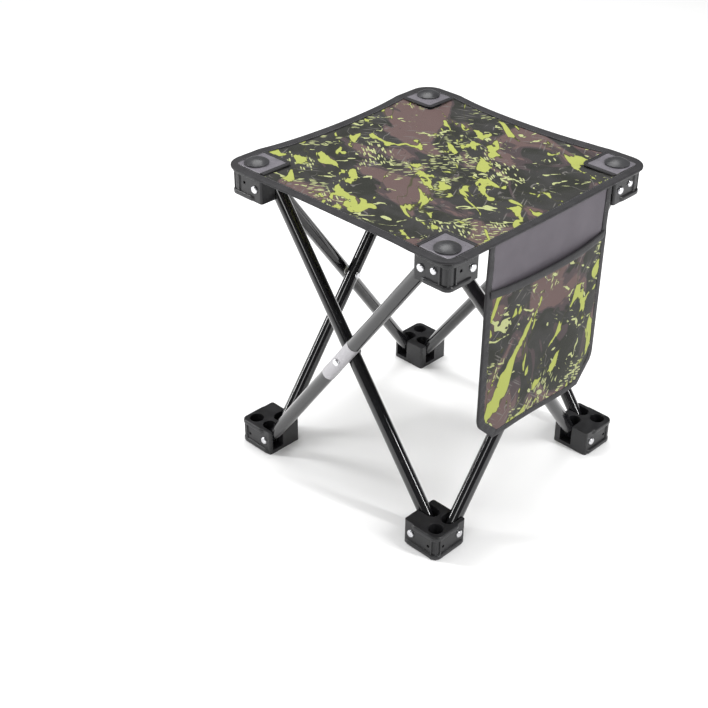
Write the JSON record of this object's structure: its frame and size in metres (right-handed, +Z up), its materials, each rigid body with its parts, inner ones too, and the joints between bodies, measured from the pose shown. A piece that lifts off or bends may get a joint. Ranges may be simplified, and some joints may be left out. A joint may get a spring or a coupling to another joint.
{
  "type": "folding camp stool",
  "caption": "Folding camp stool with a square printed fabric seat on moulded corner hubs, crossed painted steel tube legs pinned in moulded feet, and a hanging side pocket.",
  "frame": {"origin": "on the ground under the middle of the seat", "axes": "+Z up, the side pocket hangs on the +X side"},
  "size_m": [0.35, 0.35, 0.3999],
  "materials": {
    "moulded_plastic": "satin",
    "cap_plastic": "satin",
    "painted_tube": "gloss",
    "zinc_pins": "zinc plated",
    "washer_plastic": "natural nylon",
    "label_foil": "satin foil",
    "printed_canvas": "woven polyester",
    "edge_tape": "ribbed tape",
    "patch_vinyl": "coated, satin",
    "pocket_lining": "woven polyester"
  },
  "bodies": {
    "foot_front_right": {"foot_front_right": "moulded_plastic", "foot_pins_front_right": "zinc_pins"},
    "hub_front_right": {"hub_front_right": "moulded_plastic", "hub_pins_front_right": "zinc_pins", "cap_front_right": "cap_plastic", "post_rivet_front_right": "zinc_pins", "corner_patch_front_right": "patch_vinyl"},
    "foot_back_right": {"foot_back_right": "moulded_plastic", "foot_pins_back_right": "zinc_pins"},
    "hub_back_right": {"hub_back_right": "moulded_plastic", "hub_pins_back_right": "zinc_pins", "cap_back_right": "cap_plastic", "post_rivet_back_right": "zinc_pins", "corner_patch_back_right": "patch_vinyl"},
    "foot_back_left": {"foot_back_left": "moulded_plastic", "foot_pins_back_left": "zinc_pins"},
    "hub_back_left": {"hub_back_left": "moulded_plastic", "hub_pins_back_left": "zinc_pins", "cap_back_left": "cap_plastic", "post_rivet_back_left": "zinc_pins", "corner_patch_back_left": "patch_vinyl"},
    "foot_front_left": {"foot_front_left": "moulded_plastic", "foot_pins_front_left": "zinc_pins"},
    "hub_front_left": {"hub_front_left": "moulded_plastic", "hub_pins_front_left": "zinc_pins", "cap_front_left": "cap_plastic", "post_rivet_front_left": "zinc_pins", "corner_patch_front_left": "patch_vinyl"},
    "tube_front_outer": {"tube_front_outer": "painted_tube", "crossing_rivet_front": "zinc_pins", "crossing_washer_front": "washer_plastic", "tube_label": "label_foil"},
    "tube_front_inner": {"tube_front_inner": "painted_tube"},
    "tube_back_outer": {"tube_back_outer": "painted_tube", "crossing_rivet_back": "zinc_pins", "crossing_washer_back": "washer_plastic"},
    "tube_back_inner": {"tube_back_inner": "painted_tube"},
    "tube_right_outer": {"tube_right_outer": "painted_tube", "crossing_rivet_right": "zinc_pins", "crossing_washer_right": "washer_plastic"},
    "tube_right_inner": {"tube_right_inner": "painted_tube"},
    "tube_left_outer": {"tube_left_outer": "painted_tube", "crossing_rivet_left": "zinc_pins", "crossing_washer_left": "washer_plastic"},
    "tube_left_inner": {"tube_left_inner": "painted_tube"},
    "seat": {"seat_fabric": "printed_canvas", "seat_binding": "edge_tape"},
    "pocket": {"pocket_back": "pocket_lining", "pocket_pouch": "printed_canvas", "pocket_edge_tape": "edge_tape", "pocket_mouth_tape": "edge_tape"}
  },
  "joints": [
    {"name": "fold", "type": "hinge", "parent": "foot_front_right", "child": "tube_right_outer", "pos_m": [0.1545, -0.1285, 0.018], "axis": [1, 0, 0], "range_deg": [0, 32.5], "deforming": ["seat_fabric", "seat_binding"]},
    {"name": "front_inner_foot_pin", "type": "hinge", "parent": "foot_front_right", "child": "tube_front_inner", "pos_m": [0.1285, -0.136, 0.018], "axis": [0, 1, 0], "range_deg": [0, 32.5]},
    {"name": "right_outer_hub_pin", "type": "hinge", "parent": "tube_right_outer", "child": "hub_back_right", "pos_m": [0.1545, 0.1285, 0.372], "axis": [-1, 0, 0], "range_deg": [0, 32.5]},
    {"name": "front_inner_hub_pin", "type": "hinge", "parent": "tube_front_inner", "child": "hub_front_left", "pos_m": [-0.1285, -0.136, 0.372], "axis": [0, -1, 0], "range_deg": [0, 32.5]},
    {"name": "front_crossing", "type": "hinge", "parent": "tube_front_inner", "child": "tube_front_outer", "pos_m": [0, -0.136, 0.195], "axis": [0, -1, 0], "range_deg": [0, 65]},
    {"name": "right_crossing", "type": "hinge", "parent": "tube_right_outer", "child": "tube_right_inner", "pos_m": [0.1545, 0, 0.195], "axis": [-1, 0, 0], "range_deg": [0, 65]},
    {"name": "front_outer_foot_pin", "type": "hinge", "parent": "tube_front_outer", "child": "foot_front_left", "pos_m": [-0.1285, -0.1545, 0.018], "axis": [0, 1, 0], "range_deg": [0, 32.5]},
    {"name": "right_inner_foot_pin", "type": "hinge", "parent": "tube_right_inner", "child": "foot_back_right", "pos_m": [0.136, 0.1285, 0.018], "axis": [1, 0, 0], "range_deg": [0, 32.5]},
    {"name": "front_outer_hub_pin", "type": "hinge", "parent": "tube_front_outer", "child": "hub_front_right", "pos_m": [0.1285, -0.1545, 0.372], "axis": [0, 1, 0], "range_deg": [0, 32.5]},
    {"name": "left_inner_foot_pin", "type": "hinge", "parent": "foot_front_left", "child": "tube_left_inner", "pos_m": [-0.136, -0.1285, 0.018], "axis": [1, 0, 0], "range_deg": [0, 32.5]},
    {"name": "back_outer_foot_pin", "type": "hinge", "parent": "foot_back_right", "child": "tube_back_outer", "pos_m": [0.1285, 0.1545, 0.018], "axis": [0, 1, 0], "range_deg": [0, 32.5]},
    {"name": "left_inner_hub_pin", "type": "hinge", "parent": "tube_left_inner", "child": "hub_back_left", "pos_m": [-0.136, 0.1285, 0.372], "axis": [-1, 0, 0], "range_deg": [0, 32.5]},
    {"name": "left_crossing", "type": "hinge", "parent": "tube_left_inner", "child": "tube_left_outer", "pos_m": [-0.136, 0, 0.195], "axis": [-1, 0, 0], "range_deg": [0, 65]},
    {"name": "back_crossing", "type": "hinge", "parent": "tube_back_outer", "child": "tube_back_inner", "pos_m": [0, 0.1545, 0.195], "axis": [0, -1, 0], "range_deg": [0, 65]},
    {"name": "left_outer_foot_pin", "type": "hinge", "parent": "tube_left_outer", "child": "foot_back_left", "pos_m": [-0.1545, 0.1285, 0.018], "axis": [1, 0, 0], "range_deg": [0, 32.5]},
    {"name": "seat_follow", "type": "slide", "parent": "hub_front_right", "child": "seat", "axis": [0.7071, -0.7071, 0], "range_m": [0, 0.16315]},
    {"name": "pocket_swing", "type": "hinge", "parent": "seat", "child": "pocket", "pos_m": [0.1673, 0, 0.3872], "axis": [0, -1, 0], "range_deg": [0, 95]}
  ],
  "couplings": [
    {"joint": "front_inner_foot_pin", "follows": "fold", "ratio": 1},
    {"joint": "right_outer_hub_pin", "follows": "fold", "ratio": 1},
    {"joint": "front_inner_hub_pin", "follows": "fold", "ratio": 1},
    {"joint": "front_crossing", "follows": "fold", "ratio": 2},
    {"joint": "right_crossing", "follows": "fold", "ratio": 2},
    {"joint": "front_outer_foot_pin", "follows": "fold", "ratio": 1},
    {"joint": "right_inner_foot_pin", "follows": "fold", "ratio": 1},
    {"joint": "front_outer_hub_pin", "follows": "fold", "ratio": 1},
    {"joint": "left_inner_foot_pin", "follows": "fold", "ratio": 1},
    {"joint": "back_outer_foot_pin", "follows": "fold", "ratio": 1},
    {"joint": "left_inner_hub_pin", "follows": "fold", "ratio": 1},
    {"joint": "left_crossing", "follows": "fold", "ratio": 2},
    {"joint": "back_crossing", "follows": "fold", "ratio": 2},
    {"joint": "left_outer_foot_pin", "follows": "fold", "ratio": 1},
    {"joint": "seat_follow", "follows": "fold", "m_per_rad": 0.28728}
  ]
}
